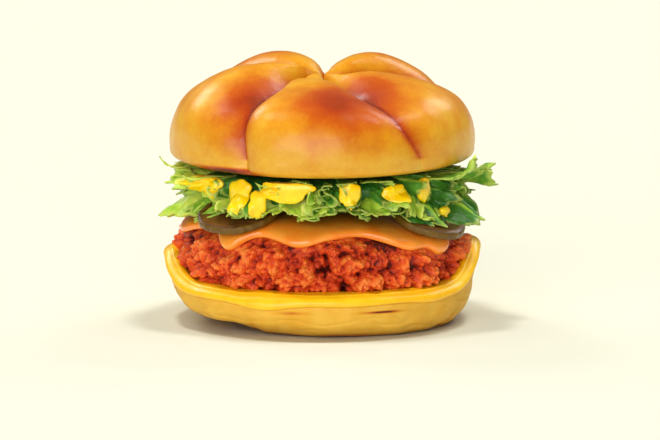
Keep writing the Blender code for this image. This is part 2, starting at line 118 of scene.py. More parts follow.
def mouldedBall(name, segments, rings, place, marks=()):
    # a grid wrapped round into a ball, each point at place(azimuth, share), share 0 at the top and
    # 1 at the bottom, and welded at the seam and the poles
    form = bmesh.new()
    bmesh.ops.create_grid(form, x_segments=segments, y_segments=rings, size=1)
    layers = [form.verts.layers.float.new(mark) for mark in marks]
    for vertex in form.verts:
        share = round((1 - vertex.co.y) / 2, 6)
        azimuth = round(vertex.co.x * 180, 3) if 0 < share < 1 else 0.0
        point, *values = place(azimuth, share)
        vertex.co = point
        for layer, value in zip(layers, values):
            vertex[layer] = value
    bmesh.ops.remove_doubles(form, verts=form.verts, dist=0.0001 * mm)
    bmesh.ops.recalc_face_normals(form, faces=form.faces)
    return finishedPiece(name, form)


def finishedPiece(name, form):
    mesh = bpy.data.meshes.new(name)
    form.to_mesh(mesh)
    form.free()
    mesh.shade_smooth()
    piece = bpy.data.objects.new(name, mesh)
    bpy.context.scene.collection.objects.link(piece)
    return piece


def putOn(piece, node, material):
    piece.data.materials.append(material)
    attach(piece, "root")
    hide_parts(node)


# Materials


class Look:
    # a Principled material with a few short ways to add nodes

    def __init__(self, name, roughness, specular=0.5, coat=0.0, coatRoughness=0.1, glow=0.0):
        self.material = bpy.data.materials.new(name)
        self.material.use_nodes = True
        self.tree = self.material.node_tree
        self.shader = self.tree.nodes["Principled BSDF"]
        self.shader.inputs["Roughness"].default_value = roughness
        self.shader.inputs["Specular IOR Level"].default_value = specular
        self.shader.inputs["Coat Weight"].default_value = coat
        self.shader.inputs["Coat Roughness"].default_value = coatRoughness
        self.shader.inputs["Subsurface Weight"].default_value = glow
        self.shader.inputs["Subsurface Radius"].default_value = (1.0, 0.5, 0.2)
        self.shader.inputs["Subsurface Scale"].default_value = 1.5 * mm
        self.place = self.tree.nodes.new("ShaderNodeTexCoord").outputs["Object"]

    def link(self, source, target):
        if isinstance(source, bpy.types.NodeSocket):
            self.tree.links.new(source, target)
        else:
            target.default_value = source

    def mark(self, name):
        node = self.tree.nodes.new("ShaderNodeAttribute")
        node.attribute_name = name
        return node.outputs["Fac"]

    def grain(self, size, detail=2.0):
        node = self.tree.nodes.new("ShaderNodeTexNoise")
        node.inputs["Scale"].default_value = 1 / size
        node.inputs["Detail"].default_value = detail
        self.link(self.place, node.inputs["Vector"])
        return node.outputs["Fac"]

    def cells(self, size):
        node = self.tree.nodes.new("ShaderNodeTexVoronoi")
        node.inputs["Scale"].default_value = 1 / size
        self.link(self.place, node.inputs["Vector"])
        return node.outputs["Distance"]

    def worked(self, operation, first, second=0.5, third=0.5):
        # the result of a math node
        node = self.tree.nodes.new("ShaderNodeMath")
        node.operation = operation
        self.link(first, node.inputs[0])
        self.link(second, node.inputs[1])
        self.link(third, node.inputs[2])
        return node.outputs[0]

    def ramp(self, factor, *stops):
        node = self.tree.nodes.new("ShaderNodeValToRGB")
        while len(node.color_ramp.elements) < len(stops):
            node.color_ramp.elements.new(0.5)
        # the node's own range ends at 1, so both sides are divided by the last position
        last = stops[-1][0]
        for element, (position, colour) in zip(node.color_ramp.elements, stops):
            element.position = position / last
            element.color = (*colour, 1)
        self.link(self.worked("DIVIDE", factor, last), node.inputs["Fac"])
        return node.outputs["Color"]

    def blended(self, factor, first, second):
        node = self.tree.nodes.new("ShaderNodeMix")
        node.data_type = "RGBA"
        # sockets 6, 7 and 2 are the colour ones
        self.link(factor, node.inputs[0])
        self.link(first, node.inputs[6])
        self.link(second, node.inputs[7])
        return node.outputs[2]

    def colour(self, source):
        self.link(source, self.shader.inputs["Base Color"])

    def bumps(self, height, strength, depth):
        node = self.tree.nodes.new("ShaderNodeBump")
        node.inputs["Strength"].default_value = strength
        node.inputs["Distance"].default_value = depth
        self.link(height, node.inputs["Height"])
        self.link(node.outputs["Normal"], self.shader.inputs["Normal"])


def seen(red, green, blue):
    # a colour as it is seen on screen, turned into the light values a shader takes
    values = []
    for part in (red, green, blue):
        part /= 255
        values.append(part / 12.92 if part <= 0.04045 else ((part + 0.055) / 1.055) ** 2.4)
    return tuple(values)


# Upper bun

bunRadius = 55.5 * mm
crown = {
    "underside": 57.8 * mm,
    "widest": 64.5 * mm,
    "top": 96.5 * mm,
    # how full the dome and the lower edge are, and the share of the section that the dome takes
    "domePower": 2.5,
    "edgePower": 4.2,
    "domeShare": 0.76,
    # folds, dips and crests scale the dome about this height
    "heart": 62.5 * mm,
    # the dip in the middle, as radii and depths that add up
    "dips": ((16.0 * mm, 0.12), (6.0 * mm, 0.06)),
    # azimuth at the dip, half way out, at the rim and at the underside, and depth at the rim
    "folds": (
        (-110, -38, -33.5, -22, 0.12),
        (14, 29, 42, 48, 0.035),
        (60, 108, 113, 118, 0.07),
        (165, 178, 185, 190, 0.08),
        (300, 252, 240, 246, 0.06),
    ),
    "foldDepth": 0.29,
    # softness at the fold before and at the fold after, and height of the crest
    "lobes": (
        (0.065, 0.10, -0.12),
        (0.30, 0.13, -0.10),
        (0.16, 0.28, 0.03),
        (0.22, 0.20, 0.035),
        (0.16, 0.30, 0.00),
    ),
    # how far points are drawn towards the folds, where the form turns most
    "drawnToFolds": 0.55,
    "swells": ((13 * mm, 0.5 * mm), (5 * mm, 0.14 * mm)),
    # wrinkles where the dough was pulled in round the dip, and finer ones along the folds
    "wrinkleSize": 1.6 * mm,
    "wrinkleHeight": 0.50 * mm,
    "wrinkledRadius": 15 * mm,
    "wrinkledWidth": 10 * mm,
    "segments": 440,
    "rings": 150,
    # the crust is a little browner from this height up, and darker in the folds, where the darkening is
    # painted shade
    "brownFrom": 66 * mm,
    "brownOver": 24 * mm,
    "topBrown": 0.08,
    "foldShade": 0.32,
    # every brown spot's strength is multiplied by this
    "spotBrown": 0.75,
    # the lower edge is toasted here: azimuth, half width, strength
    "toastedEdge": (-42, 14, 1.4),
    # where the crust is browner: azimuth, radius, half size, strength
    "browned": (
        (2, 43 * mm, 11 * mm, 1.00),
        (18, 46 * mm, 10 * mm, 0.55),
        (-45, 44 * mm, 9 * mm, 0.85),
        (-52, 31 * mm, 8 * mm, 0.40),
        (39, 34 * mm, 11 * mm, 1.00),
        (62, 26 * mm, 9 * mm, 0.25),
        (150, 36 * mm, 14 * mm, 0.60),
        (-150, 34 * mm, 14 * mm, 0.60),
        (-105, 42 * mm, 12 * mm, 0.35),
        (95, 42 * mm, 12 * mm, 0.30),
    ),
}


def crownSection(share):
    if share < crown["domeShare"]:
        turn = share / crown["domeShare"] * math.pi / 2
        power = 2 / crown["domePower"]
        rise = (crown["top"] - crown["widest"]) * math.cos(turn) ** power
        return bunRadius * math.sin(turn) ** power, crown["widest"] + rise
    turn = (share - crown["domeShare"]) / (1 - crown["domeShare"]) * math.pi / 2
    power = 2 / crown["edgePower"]
    fall = (crown["widest"] - crown["underside"]) * math.sin(turn) ** power
    return bunRadius * max(0.0, math.cos(turn)) ** power, crown["widest"] - fall


def foldAzimuth(number, along, reach, under):
    inner, middle, rim, below, _ = crown["folds"][number % 5]
    swirled = middle + (rim - middle) * along**4 + (inner - middle) * (1 - reach) ** 4
    return mixed(swirled, below, under) + 360 * (number // 5)


def crownBrowning(turned, radius, height, share, pillow):
    brown = crown["topBrown"] * eased((height - crown["brownFrom"]) / crown["brownOver"])
    # the dips beside the folds are darkened: painted shade
    brown += crown["foldShade"] * (1 - min(1, pillow)) ** 2
    for spotAzimuth, spotRadius, spotSize, strength in crown["browned"]:
        away = (standing(turned, radius, 0) - standing(spotAzimuth, spotRadius, 0)).length / spotSize
        brown += strength * crown["spotBrown"] * math.exp(-away * away)
    # the browning and the painted shade in the folds fade just above the rim, and the toasted edge lies
    # just under it
    fading = 1 - eased((share - crown["domeShare"] + 0.10) / 0.13)
    middle, halfWidth, strength = crown["toastedEdge"]
    toasted = eased((share - crown["domeShare"] - 0.015) / 0.04) * nearness(turned, middle, halfWidth)
    return brown * fading + strength * toasted


def crownPoint(azimuth, share):
    # a lobe lies between two folds, and across runs from 0 at the one to 1 at the other
    lobe, across = divmod((azimuth % 360) / 360 * 5, 1)
    lobe = int(lobe)
    across -= crown["drawnToFolds"] * math.sin(2 * math.pi * across) / (2 * math.pi)
    radius, height = crownSection(share)
    along = min(1.0, share / crown["domeShare"])
    onDome = along < 1
    reach = radius / bunRadius if onDome else 1.0
    under = eased((share - crown["domeShare"]) / (1 - crown["domeShare"]))
    start = foldAzimuth(lobe, along, reach, under)
    turned = mixed(start, foldAzimuth(lobe + 1, along, reach, under), across)

    # the lobe swells steeply out of its folds, which are deepest on the dome and end below the rim
    before, after, crest = crown["lobes"][lobe]
    pillow = (1 - math.exp(-across / before)) * (1 - math.exp(-(1 - across) / after))
    pillow /= (1 - math.exp(-0.5 / before)) * (1 - math.exp(-0.5 / after))
    rimDepth = mixed(crown["folds"][lobe][4], crown["folds"][(lobe + 1) % 5][4], across)
    depth = mixed(crown["foldDepth"], rimDepth, eased(reach**2.5)) * eased(0.35 + reach * 1.6)
    depth *= 1 - eased((share - crown["domeShare"]) / 0.14)
    sunk = depth * (1 - pillow)
    for dipRadius, dipDepth in crown["dips"]:
        sunk += dipDepth * math.exp(-((radius / dipRadius) ** 2))
    scale = 1 - sunk + crest * eased(reach * 4.5) * eased((1 - reach) * 2.2)
    heart = crown["heart"]
    if height >= heart:
        height = heart + (height - heart) * scale
    point = standing(turned, radius * scale, height)

    beside = min(across, 1 - across)
    if onDome:
        swell = unevenness(point, crown["swells"])
        away = (radius - crown["wrinkledRadius"]) / crown["wrinkledWidth"]
        pulled = math.exp(-(away**2)) * math.exp(-beside * 8) + 0.5 * math.exp(-beside * 22)
        swell += noise.noise(point / crown["wrinkleSize"]) * crown["wrinkleHeight"] * pulled
        point += Vector((point.x, point.y, point.z - heart)).normalized() * swell
    browning = crownBrowning(turned, radius, height, share, pillow)
    # the last value is a thin line along each fold, painted shade in the crust's colour
    return point, browning, math.exp(-beside * 38) * onDome


crownBun = mouldedBall(
    "crownBun", crown["segments"], crown["rings"], crownPoint, ("browning", "folding")
)
crust = Look("glazedCrust", 0.50, specular=0.12, coat=0.60, coatRoughness=0.26, glow=0.02)
browning = crust.worked("MULTIPLY_ADD", crust.grain(9 * mm, 3), 0.5, crust.mark("browning"))
browning = crust.worked("MULTIPLY_ADD", crust.grain(1.6 * mm, 2), 0.16, browning)
# the line along each fold darkens the crust: painted shade
browning = crust.worked("MULTIPLY_ADD", crust.mark("folding"), 0.60, browning)
crustColour = crust.ramp(
    browning,
    (0.22, seen(224, 174, 48)),
    (0.46, seen(214, 142, 20)),
    (0.80, seen(190, 86, 4)),
    (1.15, seen(166, 56, 4)),
    (1.60, seen(92, 28, 4)),
)
# cream spots mixed into the crust's colour are painted glints of the glaze
specks = crust.worked("LESS_THAN", crust.cells(1.3 * mm), 0.10)
specks = crust.worked("MULTIPLY", specks, crust.worked("GREATER_THAN", crust.grain(5 * mm, 2), 0.56))
specks = crust.worked("MULTIPLY", specks, 0.4)
crust.colour(crust.blended(specks, crustColour, (*seen(255, 226, 150), 1)))
crust.bumps(crust.worked("ADD", crust.grain(1.1 * mm, 3), crust.grain(0.4 * mm, 1)), 0.50, 0.3 * mm)
putOn(crownBun, "crown_bun", crust.material)
print("upper bun made")

# Lower bun

heel = {
    "baseRadius": 38.5 * mm,
    "baseShift": 6.5 * mm,
    # height of the top in its middle, and of the rim round it
    "floor": 13.1 * mm,
    "frontRim": 14.3 * mm,
    "backRim": 20.0 * mm,
    "leftRim": 24.5 * mm,
    "rightRim": 27.5 * mm,
    # the rim's radius in front and at the sides, as a share of the upper bun's
    "frontShare": 0.975,
    "sideShare": 1.014,
    "edge": 2.0 * mm,
    "lipPower": 16,
    "clefts": ((-33, 2.2 * mm), (62, 1.2 * mm), (128, 1.6 * mm), (-152, 1.8 * mm), (-96, 1.2 * mm)),
    # how far a cleft leans, in degrees for each unit along the section
    "cleftLean": 16,
    "swells": ((11 * mm, 1.2 * mm), (4.5 * mm, 0.3 * mm)),
    # soft creases that run along the side: length, height and depth
    "creases": (16 * mm, 3.2 * mm, 0.55 * mm),
    # how far the front left lobe's lower edge curls up off the floor, and the azimuths at which the
    # curl starts, is whole, begins to end and has ended
    "curl": 2.4 * mm,
    "curled": (-88, -62, -40, -32),
    # azimuth, place down the section, half width, half height, strength; the two spots at 1.375 are no
    # toast but a painted line of shade just under the yellow sauce's edge
    "toasted": (
        (-68, 1.60, 9, 0.035, 0.5),
        (-52, 1.68, 9, 0.035, 0.8),
        (-38, 1.74, 7, 0.04, 0.8),
        (8, 1.80, 16, 0.04, 0.35),
        # these two spots make a painted dark line of shade under the sauce's edge
        (-12, 1.375, 6, 0.02, 0.5),
        (24, 1.375, 7, 0.016, 1.2),
        (75, 1.85, 8, 0.06, 0.6),
        (-75, 1.90, 6, 0.05, 0.5),
        (160, 1.95, 9, 0.06, 0.8),
        (-140, 1.94, 8, 0.06, 0.7),
    ),
    "stations": (0, 0.5, 0.8, 0.93, 1.0, 1.15, 1.3, 1.45, 1.62, 1.81, 2.0, 2.5, 3.0),
    "segments": 360,
    "rings": 132,
}


def heelRim(azimuth):
    turn = math.radians(azimuth)
    sideways = abs(math.sin(turn))
    side = heel["rightRim"] if math.sin(turn) > 0 else heel["leftRim"]
    if math.cos(turn) > 0:
        height = mixed(heel["frontRim"], side, sideways**18)
    else:
        height = mixed(heel["backRim"], side, sideways**4)
    return bunRadius * mixed(heel["frontShare"], heel["sideShare"], sideways**2), height


def heelBase(azimuth):
    turn = math.radians(azimuth)
    return heel["baseRadius"] + heel["baseShift"] * math.sin(turn) + 1.5 * mm * math.cos(turn)


def heelSection(azimuth, along):
    # along 0 to 1 it crosses the top, to 1.3 it rounds the rim, to 2 it goes down the side, and to 3
    # it comes back under the base
    rimRadius, rimHeight = heelRim(azimuth)
    baseRadius, edge = heelBase(azimuth), heel["edge"]
    if along <= 1:
        lip = max(0.0, along) ** heel["lipPower"]
        return along * (rimRadius - edge), mixed(heel["floor"], rimHeight, lip)
    if along <= 1.3:
        turn = (along - 1) / 0.3 * math.pi / 2
        return rimRadius - edge * (1 - math.sin(turn)), rimHeight - edge * (1 - math.cos(turn))
    if along <= 2:
        turn = (along - 1.3) / 0.7 * math.pi / 2
        side = baseRadius + (rimRadius - baseRadius) * math.cos(turn)
        return side, (rimHeight - edge) * (1 - math.sin(turn))
    return baseRadius * (3 - along), 0.0


def heelPoint(azimuth, share):
    along = between(heel["stations"], share)
    radius, height = heelSection(azimuth, along)
    side = eased((along - 1.3) / 0.12) * (1 - eased((along - 1.92) / 0.1))
    folded = 0.0
    if 1.3 < along < 2.2:
        low = eased((along - 1.42) / 0.4) * (1 - eased((along - 2.0) / 0.2))
        for middle, depth in heel["clefts"]:
            lean = middle + heel["cleftLean"] * (1.75 - along)
            radius -= depth * low * nearness(azimuth, lean, 4.5)
            # the clefts are also darkened in the bread's colour: painted shade
            folded = max(folded, low * nearness(azimuth, lean, 1.8))
    point = standing(azimuth, radius, height)
    swell = unevenness(point, heel["swells"])
    creaseLength, creaseHeight, creaseDepth = heel["creases"]
    level = Vector((point.x / creaseLength, point.y / creaseLength, point.z / creaseHeight))
    swell -= (1 - abs(noise.noise(level))) ** 10 * creaseDepth
    point += standing(azimuth, swell * side, 0)
    starts, whole, ends, ended = heel["curled"]
    lobe = eased((azimuth - starts) / (whole - starts)) * (1 - eased((azimuth - ends) / (ended - ends)))
    point.z += heel["curl"] * lobe * eased((along - 1.5) / 0.35) * (1 - eased((along - 2.05) / 0.5))
    # the lower edge is toasted all round, unevenly, and then there are the toasted spots and a painted
    # line of shade under the sauce's edge
    toast = 0.7 * eased((along - 1.70) / 0.2) * (1 - eased((along - 2.1) / 0.4))
    toast *= 0.5 + 0.8 * noise.noise(point / (9 * mm))
    for spotAzimuth, spotAlong, halfWidth, halfHeight, strength in heel["toasted"]:
        away = ((along - spotAlong) / halfHeight) ** 2
        toast += strength * nearness(azimuth, spotAzimuth, halfWidth) * math.exp(-away)
    return point, toast, folded


heelBun = mouldedBall("heelBun", heel["segments"], heel["rings"], heelPoint, ("toasting", "folding"))
bread = Look("softBread", 0.62, specular=0.25, coat=0.05, coatRoughness=0.35, glow=0.05)
toasting = bread.worked("MULTIPLY_ADD", bread.grain(6 * mm, 3), 0.45, bread.mark("toasting"))
# the clefts darken the bread: painted shade
toasting = bread.worked("MULTIPLY_ADD", bread.mark("folding"), 0.40, toasting)
breadColour = bread.ramp(
    toasting,
    (0.15, seen(232, 184, 70)),
    (0.38, seen(222, 162, 42)),
    (0.74, seen(196, 112, 26)),
    (1.10, seen(106, 38, 8)),
)
bread.colour(breadColour)
bread.bumps(bread.worked("ADD", bread.grain(1.2 * mm, 4), bread.grain(3.5 * mm, 2)), 0.25, 0.3 * mm)
putOn(heelBun, "heel_bun", bread.material)
print("lower bun made")

# Yellow sauce on the lower bun

yellow = {
    "gap": 0.35 * mm,
    "thickness": 1.9 * mm,
    # how far it runs down the side, and how much that wavers
    "run": -1.6 * mm,
    "waver": 1.3 * mm,
    "unevenness": 0.35 * mm,
    # the fillet's weight pushes it up round the edge
    "pushedUp": 1.5 * mm,
    # azimuth, how much further it runs, half width
    "drips": (
        (-24, 3.4 * mm, 12),
        (-68, 1.6 * mm, 10),
        (12, 1.2 * mm, 9),
        (47, 1.4 * mm, 12),
        (84, 1.8 * mm, 10),
        (125, 4.0 * mm, 12),
        (168, 2.4 * mm, 14),
        (-140, 4.0 * mm, 13),
    ),
    "segments": 400,
    "rings": 120,
}


def yellowPoint(azimuth, share):
    run = yellow["run"] + yellow["waver"] * noise.noise(standing(azimuth, 4.2, 1.7))
    for middle, more, halfWidth in yellow["drips"]:
        run += more * nearness(azimuth, middle, halfWidth)
    rimRadius, rimHeight = heelRim(azimuth)
    # the side's length is roughly this, and it takes 0.7 along the lower bun's section
    sideLength = 0.8 * (rimRadius - heelBase(azimuth) + rimHeight - heel["edge"])
    lip = 1.3 + 0.7 * run / sideLength
    outward = 1 - abs(1 - 2 * share)  # 0 in the middle, 1 at the lip
    along = between((0, 0.8, 0.93, 1.0, mixed(1, lip, 0.45), mixed(1, lip, 0.85), lip), outward)
    lift = yellow["gap"]
    if share <= 0.5:
        lift += yellow["thickness"] * math.sqrt(1 - (along / lip) ** 30)
        ripple = noise.noise(standing(azimuth, along * 5, 0.3)) * eased(outward * 3)
        lift += yellow["unevenness"] * ripple
        lift += yellow["pushedUp"] * eased((along - 0.80) / 0.08) * (1 - eased((along - 0.93) / 0.12))
    radius, height = offsetSection(heelSection, azimuth, along, lift)
    point = standing(azimuth, max(0.0, radius) if outward > 0.001 else 0.0, height)
    return (point,)


yellowSauce = mouldedBall("yellowSauce", yellow["segments"], yellow["rings"], yellowPoint)
butter = Look("yellowSauce", 0.36, coat=0.12, coatRoughness=0.18, glow=0.06)
butter.colour(
    butter.ramp(butter.grain(7 * mm, 2), (0.35, seen(248, 186, 4)), (0.65, seen(254, 200, 20)))
)
butter.bumps(butter.grain(2.2 * mm, 2), 0.12, 0.4 * mm)
putOn(yellowSauce, "yellow_sauce", butter.material)
print("yellow sauce made")

# Fried fillet

fillet = {
    "middle": 28.0 * mm,
    "halfLength": 51.0 * mm,
    "halfDepth": 48.0 * mm,
    "halfHeight": 12.2 * mm,
    "upperPower": 3.0,
    "lowerPower": 7.0,
    "thinEnd": 0.36,
    # the crumb's lumps: size and share of the height
    "crags": ((10.5 * mm, 1.0), (4.6 * mm, 0.4)),
    "cragLevel": 0.39,
    "cragHeight": 8.8 * mm,
    # the lumps start this far under the sauce's edge, and grow to their full height over the first
    # length there and over the second above the underside
    "underSauce": 0.4 * mm,
    "growOver": 2.6 * mm,
    "growAbove": 3.0 * mm,
    # room kept to the lower bun's top: aside and below
    "margins": ((2.9 * mm, 0), (2.2 * mm, 2.2 * mm), (0, 2.4 * mm)),
    "stations": (
        (0, 0.35, 0.55, 0.64, 0.71, 0.775, 0.83, 0.88, 0.92, 0.958, 0.985, 1, 1.001)
        + (1.005, 1.013, 1.028, 1.053, 1.092, 1.147, 1.224, 1.333, 1.491, 1.79, 2)
    ),
    "segments": 1000,
    "rings": 92,
    # smaller knobs on the lumps: size, height, share of the shade, which is painted shade in the hollows
    # and painted light on the tops
    "knobs": ((4.2 * mm, 2.6 * mm, 0.45), (2.1 * mm, 1.7 * mm, 0.40)),
    # the knobs are warped: size and distance
    "warp": (3.5 * mm, 0.5 * mm),
    # the lumps' share of the shade, painted shade in the hollows and painted light on the tops
    "craggyShade": 0.55,
    # keeps the knobs the same each time
    "warpSeed": 5,
}
orange = {
    # the gap to the fillet, and what is added to it in the middle
    "gap": 0.5 * mm,
    "middleGap": 0.3 * mm,
    "thickness": 2.5 * mm,
    # the height that it runs down to, and how much lower that is at the right
    "edge": 35.6 * mm,
    "lowerAtRight": 5.0 * mm,
    "clearOfHeel": 3.4 * mm,
    "waver": 0.5 * mm,
    "unevenness": 0.4 * mm,
    # azimuth, how much further it runs, half width
    "drips": (
        (-86, 3.5 * mm, 12),
        (-43, 5.0 * mm, 7),
        (-10, 2.6 * mm, 10),
        (20, -0.4 * mm, 8),
        (40, 1.8 * mm, 8),
        (57, 3.4 * mm, 6),
        (82, -3.0 * mm, 13),
        (112, 4.4 * mm, 9),
        (141, 4.6 * mm, 9),
        (172, 2.6 * mm, 12),
        (-150, 4.4 * mm, 9),
        (-121, 2.6 * mm, 9),
    ),
    "segments": 360,
    "rings": 120,
}


def thinning(azimuth, radius):
    # the fillet's upper side is lower towards the right
    return 1 - fillet["thinEnd"] * eased(radius * math.sin(math.radians(azimuth)) / fillet["halfLength"])


def filletSection(azimuth, along):
    # along 0 to 1 it crosses the upper half, and to 2 it comes back through the lower half
    reach = ovalReach(azimuth, fillet["halfLength"], fillet["halfDepth"])
    upper = along < 1
    power = 2 / (fillet["upperPower"] if upper else fillet["lowerPower"])
    polar = clamped(along / 2) * math.pi
    radius = reach * math.sin(polar) ** power
    rise = abs(math.cos(polar)) ** power * fillet["halfHeight"]
    if upper:
        rise *= thinning(azimuth, radius)
    return radius, fillet["middle"] + (rise if upper else -rise)


@functools.lru_cache(maxsize=None)
def orangeEdge(azimuth):
    toRight = eased(math.sin(math.radians(azimuth)) * 1.2 - 0.2)
    edge = orange["edge"] - orange["lowerAtRight"] * toRight
    for middle, drop, halfWidth in orange["drips"]:
        edge -= drop * nearness(azimuth, middle, halfWidth)
    return max(edge, heelRim(azimuth)[1] + orange["clearOfHeel"])


def clearOfHeel(azimuth, radius, height):
    rimRadius, rimHeight = heelRim(azimuth)
    for aside, below in fillet["margins"]:
        lip = min(1.0, (radius + aside) / (rimRadius - heel["edge"])) ** heel["lipPower"]
        if mixed(heel["floor"], rimHeight, lip) + below > height:
            return False
    return True


def crag(point):
    height = 0.0
    for size, share in fillet["crags"]:
        height += share * (fillet["cragLevel"] - noise.voronoi(point / size)[0][0] ** 2)
    return height


def filletPoint(azimuth, share):
    along = between(fillet["stations"], share)
    radius, height = filletSection(azimuth, along)
    covered = min(orangeEdge(azimuth), orangeEdge(round(azimuth - 3)), orangeEdge(round(azimuth + 3)))
    bare = eased((covered - fillet["underSauce"] - height) / fillet["growOver"])
    raised = eased((height - (fillet["middle"] - fillet["halfHeight"])) / fillet["growAbove"])
    lump = crag(standing(azimuth, radius, height))
    radius += lump * fillet["cragHeight"] * bare * raised
    while not clearOfHeel(azimuth, radius, height):
        radius -= 0.1 * mm
    outward, upward = outwardAt(filletSection, azimuth, along, 0.01)
    point = standing(azimuth, radius, height)
    warpSize, warpDistance = fillet["warp"]
    warped = point + noise.noise_vector(point / warpSize) * warpDistance
    # shade, kept as the mark named height, darkens the hollows and lightens the tops: painted shade and
    # painted light
    swell, shade = 0.0, fillet["craggyShade"] * lump
    for size, knobHeight, part in fillet["knobs"]:
        dome = 1 - 1.6 * noise.voronoi(warped / size)[0][0] ** 2
        swell += knobHeight * (dome - 0.5)
        shade += part * dome
    swell *= eased(bare * 1.4) * (1 - eased((along - 1.5) / 0.15))
    radius = max(0.0, radius + outward * swell)
    return standing(azimuth, radius, height + upward * swell), shade


noise.seed_set(fillet["warpSeed"])
chickenFillet = mouldedBall(
    "chickenFillet", fillet["segments"], fillet["rings"], filletPoint, ("height",)
)
crumb = Look("friedCrumb", 0.48, specular=0.3, coat=0.16, coatRoughness=0.14, glow=0.03)
# the crumb is dark red in the hollows and light orange on the tops: painted shade and painted light
raised = crumb.worked("MULTIPLY_ADD", crumb.grain(1.1 * mm, 3), 0.25, crumb.mark("height"))
raised = crumb.worked("MULTIPLY_ADD", crumb.grain(7 * mm, 2), 0.30, raised)
crumb.colour(
    crumb.ramp(
        raised,
        (0.40, seen(96, 16, 6)),
        (0.62, seen(196, 50, 14)),
        (0.86, seen(234, 82, 22)),
        (1.15, seen(255, 134, 52)),
    )
)
granules = crumb.worked("SUBTRACT", 1.0, crumb.cells(0.9 * mm))
crumb.bumps(crumb.worked("ADD", granules, crumb.grain(0.5 * mm, 2)), 0.9, 0.6 * mm)
putOn(chickenFillet, "chicken_fillet", crumb.material)
print("fillet made")

# Orange sauce over the fillet


@functools.lru_cache(maxsize=None)
def orangeLip(azimuth):
    # the place along the fillet's section at the edge's height, found by halving
    edge = orangeEdge(azimuth) + orange["waver"] * noise.noise(standing(azimuth, 4.0, 2.3))
    lowest, highest = 0.5, 1.3
    for _ in range(18):
        lip = (lowest + highest) / 2
        if filletSection(azimuth, lip)[1] > edge:
            lowest = lip
        else:
            highest = lip
    return lip


def orangePoint(azimuth, share):
    lip = orangeLip(azimuth)
    outward = 1 - abs(1 - 2 * share)
    along = between((0, 0.45, 0.7, 0.84, 0.93, 0.985, 1), outward) * lip
    lift = orange["gap"]
    if share <= 0.5:
        lift += orange["thickness"] * math.sqrt(max(0.0, 1 - (along / lip) ** 22))
        ripple = noise.noise(standing(azimuth, along * 4, 0.8)) * eased(outward * 2)
        lift += orange["unevenness"] * ripple
    elif outward < 0.3:
        lift += orange["middleGap"]
    radius, height = offsetSection(filletSection, azimuth, along, lift)
    return (standing(azimuth, max(0.0, radius) if outward > 0.001 else 0.0, height),)


orangeSauce = mouldedBall("orangeSauce", orange["segments"], orange["rings"], orangePoint)
tangy = Look("orangeSauce", 0.22, coat=0.5, coatRoughness=0.06, glow=0.10)
tangy.colour(
    tangy.ramp(tangy.grain(8 * mm, 2), (0.35, seen(255, 136, 34)), (0.65, seen(255, 160, 54)))
)
tangy.bumps(tangy.grain(2.5 * mm, 2), 0.15, 0.4 * mm)
putOn(orangeSauce, "orange_sauce", tangy.material)
print("orange sauce made")

# Pickle slices

pickles = {
    "thickness": 4.0 * mm,
    "ridges": 23,
    "ridgeHeight": 0.08 * mm,
    "rimBumps": 0.5 * mm,
    "sunkFace": 0.35 * mm,
    "faceBumps": 0.25 * mm,
    # place to the right, to the back and up, radius, and lean to the front and to the right
    "slices": (
        (-30.5 * mm, -28.5 * mm, 43.1 * mm, 14.8 * mm, 17, -9),
        (38.5 * mm, -23.0 * mm, 39.9 * mm, 14.0 * mm, 12, 17),
    ),
    "segments": 160,
    "rings": 60,
}
pickleLook = Look("wetPickle", 0.34, specular=0.3, coat=0.12, coatRoughness=0.10, glow=0.04)
rind = pickleLook.worked("MULTIPLY_ADD", pickleLook.grain(3 * mm, 3), 0.6, pickleLook.mark("rind"))
pickleLook.colour(
    pickleLook.ramp(
        rind,
        (0.25, seen(104, 60, 24)),
        (0.60, seen(80, 44, 16)),
        (1.05, seen(84, 54, 14)),
        (1.45, seen(112, 84, 22)),
    )
)
pickleLook.bumps(pickleLook.grain(1.3 * mm, 2), 0.25, 0.4 * mm)


def makePickle(number, across, ahead, height, radius, toFront, toRight):
    leaning = Matrix.Rotation(math.radians(toRight), 4, "Y")
    leaning = leaning @ Matrix.Rotation(math.radians(toFront), 4, "X")
    placed = Matrix.Translation((across, ahead, height)) @ leaning

    def picklePoint(azimuth, share):
        polar = share * math.pi
        out = math.sin(polar) ** 0.35
        up = math.copysign(abs(math.cos(polar)) ** 0.5, math.cos(polar))
        ridge = math.sin(math.radians(azimuth) * pickles["ridges"]) * eased((out - 0.9) / 0.1)
        rim = radius + ridge * pickles["ridgeHeight"]
        rim += pickles["rimBumps"] * noise.noise(standing(azimuth, 6.0, number * 3.0)) * out
        level = up * (pickles["thickness"] / 2 - pickles["sunkFace"] * eased((0.86 - out) / 0.2))
        bump = noise.noise(standing(azimuth, out * 3, number)) * (1 - abs(1 - 2 * share))
        level += pickles["faceBumps"] * bump
        return placed @ standing(azimuth, out * rim, level), eased((out - 0.9) / 0.08)

    piece = mouldedBall(
        f"pickleSlice{number}", pickles["segments"], pickles["rings"], picklePoint, ("rind",)
    )
    putOn(piece, f"pickle_slice_{number}", pickleLook.material)


for number, values in enumerate(pickles["slices"], 1):
    makePickle(number, *values)
print("pickle slices made")

# Lettuce

